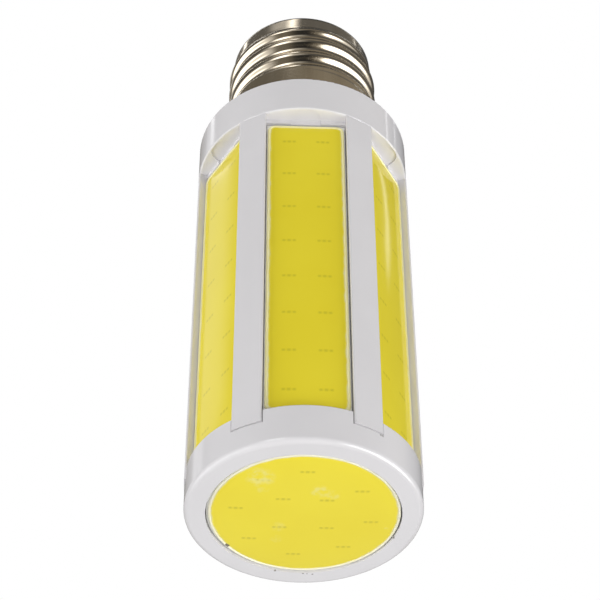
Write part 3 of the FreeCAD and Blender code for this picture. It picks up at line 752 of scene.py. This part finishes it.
def phosphor_gel(name, mark_share, smudges=()):
    """Yellow phosphor gel: paler where it thins out at its rim, with the dies as faint marks under it."""
    material, work, shader, place, colour = finish_of(
        name, (0.915, 0.77, 0.036), (0.885, 0.735, 0.030), (0.06, 0.10),
        slow=55.0, fine=900.0, bump=0.006, ior=1.42)
    rim = work.node("ShaderNodeAttribute", attribute_name="edge_mm").outputs["Fac"]
    uneven = work.math("MULTIPLY", work.math("SUBTRACT", work.noise(place, 500.0, 2.0), 0.5), 0.5)
    rim = work.math("ADD", rim, uneven)
    colour = work.mix(work.ramp(rim, 0.0, 0.45, 0.3, 0.0), colour, (0.88, 0.84, 0.30, 1))
    colour = work.mix(work.ramp(rim, -0.1, 0.25, 0.9, 0.0), colour, (0.88, 0.86, 0.66, 1))
    from_die = work.node("ShaderNodeUVMap", uv_map="from_die").outputs[0]
    mark = work.group(die_mark, {"Vector": from_die})["Mask"]
    colour = work.mix(work.math("MULTIPLY", mark, mark_share), colour, (0.42, 0.36, 0.012, 1))
    dust = work.group(dust_specks, {"Vector": place, "Scale": 900.0, "Amount": 0.03})["Mask"]
    colour = work.mix(work.math("MULTIPLY", dust, 0.25), colour, (0.5, 0.42, 0.05, 1))
    if smudges:
        colour = spotted(work, place, colour, bead_nick)
    for x, y, radius, strength in smudges:
        middle = (x * MM, y * MM, end_gel_low[2] * MM)
        mask = work.group(soft_spot, {"Vector": place, "Middle": middle, "Radius": radius * MM})["Mask"]
        broken = work.ramp(work.noise(place, 800.0, 3.0, 0.6), 0.36, 0.68, 0.0, strength)
        colour = work.mix(work.math("MULTIPLY", mask, broken), colour, (0.90, 0.82, 0.26, 1))
    work.link(colour, shader.inputs["Base Color"])
    return material


def make_materials():
    """Every finish by the record's slot."""
    made = {
        "white_plastic": white_plastic(),
        "nickel": nickel_plate(),
        "gel": phosphor_gel("phosphor_gel", 0.33),
        "end_gel": phosphor_gel("phosphor_gel_end", 0.42, end_smudges),
    }
    plain = {
        "bead": ((0.92, 0.87, 0.50), (0.90, 0.84, 0.42), (0.30, 0.42)),
        "board_face": ((0.88, 0.88, 0.84), (0.84, 0.84, 0.79), (0.35, 0.5)),
        "die": ((0.45, 0.42, 0.10), (0.35, 0.33, 0.08), (0.3, 0.4)),
        "black_glass": ((0.022, 0.022, 0.026), (0.014, 0.014, 0.016), (0.10, 0.20)),
        "circuit_board": ((0.10, 0.30, 0.14), (0.07, 0.24, 0.10), (0.35, 0.5)),
        "film_box": ((0.50, 0.12, 0.07), (0.42, 0.09, 0.05), (0.25, 0.4)),
        "can_sleeve": ((0.035, 0.035, 0.04), (0.025, 0.025, 0.028), (0.25, 0.4)),
        "resistor_body": ((0.42, 0.50, 0.43), (0.36, 0.44, 0.38), (0.4, 0.55)),
        "chip_body": ((0.035, 0.035, 0.04), (0.025, 0.025, 0.028), (0.4, 0.55)),
        "red_lead": ((0.55, 0.03, 0.03), (0.45, 0.025, 0.025), (0.3, 0.45)),
        "black_lead": ((0.035, 0.035, 0.035), (0.025, 0.025, 0.025), (0.3, 0.45)),
        "white_lead": ((0.80, 0.80, 0.77), (0.74, 0.74, 0.71), (0.3, 0.45)),
    }
    for slot, (light, dark, rough) in plain.items():
        made[slot] = finish_of(slot, light, dark, rough, slow=300.0)[0]
    made["end_bead"] = end_bead_silicone()
    made["tinned_brass"] = finish_of(
        "tinned_brass", (0.66, 0.60, 0.46), (0.55, 0.49, 0.36), (0.22, 0.38), slow=500.0, metallic=1.0)[0]
    return made


materials = make_materials()
slot_of = {row["node"]: row["material_slot"] for row in frame["record"]["subparts"]}
for node, part in frame["nodes"].items():
    part.data.materials.clear()
    part.data.materials.append(materials[slot_of[node]])

for number in range(1, strip_count + 1):
    strip_gel(number, materials["gel"])
    strip_bead(number, materials["bead"])
end_gel(materials["end_gel"])
end_bead(materials["end_bead"])
rolled_cap(materials["nickel"])
glass_insulator(materials["black_glass"])
tip_contact(materials["tinned_brass"])

# Stage: camera, studio surroundings, softboxes and floor


def place_camera():
    """Camera at the photograph's place, turned by its small roll."""
    data = bpy.data.cameras.new("camera")
    data.lens = camera_lens
    data.sensor_width = 36.0
    data.clip_start = 0.01
    camera = bpy.data.objects.new("camera", data)
    bpy.context.scene.collection.objects.link(camera)
    aim = Vector(camera_aim).normalized()
    right = aim.cross(Vector((0, 0, 1))).normalized()
    up = right.cross(aim)
    level = Matrix((right, up, -aim)).transposed()
    turn = level @ Matrix.Rotation(camera_roll, 3, "Z")
    camera.matrix_world = Matrix.Translation(Vector(camera_place) * MM) @ turn.to_4x4()
    bpy.context.scene.camera = camera


def toward(azimuth, elevation, distance):
    """Place at degrees round from the first strip's side, degrees above the horizon and a distance."""
    a, e = math.radians(azimuth), math.radians(elevation)
    return Vector((math.sin(a) * math.cos(e), -math.cos(a) * math.cos(e), math.sin(e))) * distance


def fill_light(name, azimuth, elevation, distance, size, radiance):
    """Square lamp that faces the middle of the bulb and only fills: gloss mirrors the studio instead."""
    data = bpy.data.lights.new(name, "AREA")
    data.size = size
    data.energy = radiance * math.pi * size ** 2
    lamp = bpy.data.objects.new(name, data)
    bpy.context.scene.collection.objects.link(lamp)
    middle = Vector((0, 0, lamp_aim))
    offset = toward(azimuth, elevation, distance)
    lamp.location = middle + offset
    lamp.rotation_euler = (-offset).to_track_quat("-Z", "Y").to_euler()
    lamp.visible_camera = False
    lamp.visible_glossy = False


def studio_world():
    """White for the camera, the studio for gloss, and a tent, brighter below, for all other rays."""
    world = bpy.data.worlds.new("studio")
    world.use_nodes = True
    bpy.context.scene.world = world
    tree = world.node_tree
    tree.nodes.clear()
    work = Tree(tree)
    rays = work.node("ShaderNodeLightPath").outputs
    direction = work.node("ShaderNodeTexCoord").outputs["Generated"]
    parts = work.node("ShaderNodeSeparateXYZ", {0: direction}).outputs
    behind = work.math("MULTIPLY", parts["Y"], -1.0)
    azimuth = work.math("DEGREES", work.math("ARCTAN2", parts["X"], behind))
    elevation = work.math("DEGREES", work.math("ARCSINE", parts["Z"]))
    room = work.mix(work.ramp(azimuth, -60.0, 40.0), room_left, room_right)
    names = ("Middle Azimuth", "Middle Elevation", "Half Width", "Half Height", "Edge Across", "Edge Up")
    for *sizes, radiance in studio_lamps:
        given = {"Azimuth": azimuth, "Elevation": elevation, **dict(zip(names, sizes))}
        mask = work.group(studio_window, given)["Mask"]
        room = work.mix(mask, room, (radiance, radiance, radiance, 1))
    level = work.math("ADD", work.math("MULTIPLY", parts["Z"], tent_slope), tent_level)
    tent = work.node("ShaderNodeCombineColor", {0: level, 1: level, 2: level}).outputs[0]
    colour = work.mix(rays["Is Glossy Ray"], tent, room)
    white = work.math("MAXIMUM", rays["Is Camera Ray"], rays["Is Transmission Ray"])
    colour = work.mix(white, colour, (1, 1, 1, 1))
    shade = work.node("ShaderNodeBackground", {"Color": colour, "Strength": 1.0})
    leave = work.node("ShaderNodeOutputWorld")
    work.link(shade.outputs[0], leave.inputs["Surface"])


def pale_floor():
    """Floor under the bulb, seen only from above: it takes the bulb's shadow and fades out into white."""
    radius, columns = 0.7, 96
    drop = 0.00005  # below the end ring, in metres
    angle = np.arange(columns) / columns * 2 * math.pi
    rings = np.array([0.02, 0.2, 1.0])[:, None] * radius
    points = np.stack(np.broadcast_arrays(rings * np.cos(angle), rings * np.sin(angle), -drop), -1)
    faces = [list(face)[::-1] for face in grid_faces(3, columns, False, True)] + [list(range(columns))]
    mesh = bpy.data.meshes.new("floor")
    mesh.from_pydata(points.reshape(-1, 3), [], faces)
    floor = bpy.data.objects.new("floor", mesh)
    bpy.context.scene.collection.objects.link(floor)
    material = bpy.data.materials.new("floor")
    material.use_nodes = True
    tree = material.node_tree
    work = Tree(tree)
    shader = tree.nodes["Principled BSDF"]
    place = work.node("ShaderNodeTexCoord").outputs["Object"]
    shader.inputs["Base Color"].default_value = (0.93, 0.93, 0.93, 1)
    shader.inputs["Roughness"].default_value = 0.8
    seen = work.node("ShaderNodeLightPath").outputs["Is Camera Ray"]
    above = work.math("SUBTRACT", 1.0, work.node("ShaderNodeNewGeometry").outputs["Backfacing"])
    reach = work.node("ShaderNodeVectorMath", {0: place}, operation="LENGTH").outputs["Value"]
    fade = work.ramp(reach, 0.12, 0.6, 1.0, 0.0)
    share = work.math("MULTIPLY", work.math("MULTIPLY", seen, above), fade)
    clear = work.node("ShaderNodeBsdfTransparent")
    mixed = work.node("ShaderNodeMixShader", {0: share, 1: clear.outputs[0], 2: shader.outputs[0]})
    work.link(mixed.outputs[0], tree.nodes["Material Output"].inputs["Surface"])
    mesh.materials.append(material)


place_camera()
studio_world()
for fill_lamp in fill_lamps:
    fill_light(*fill_lamp)
pale_floor()
bpy.context.scene.view_settings.view_transform = "Standard"
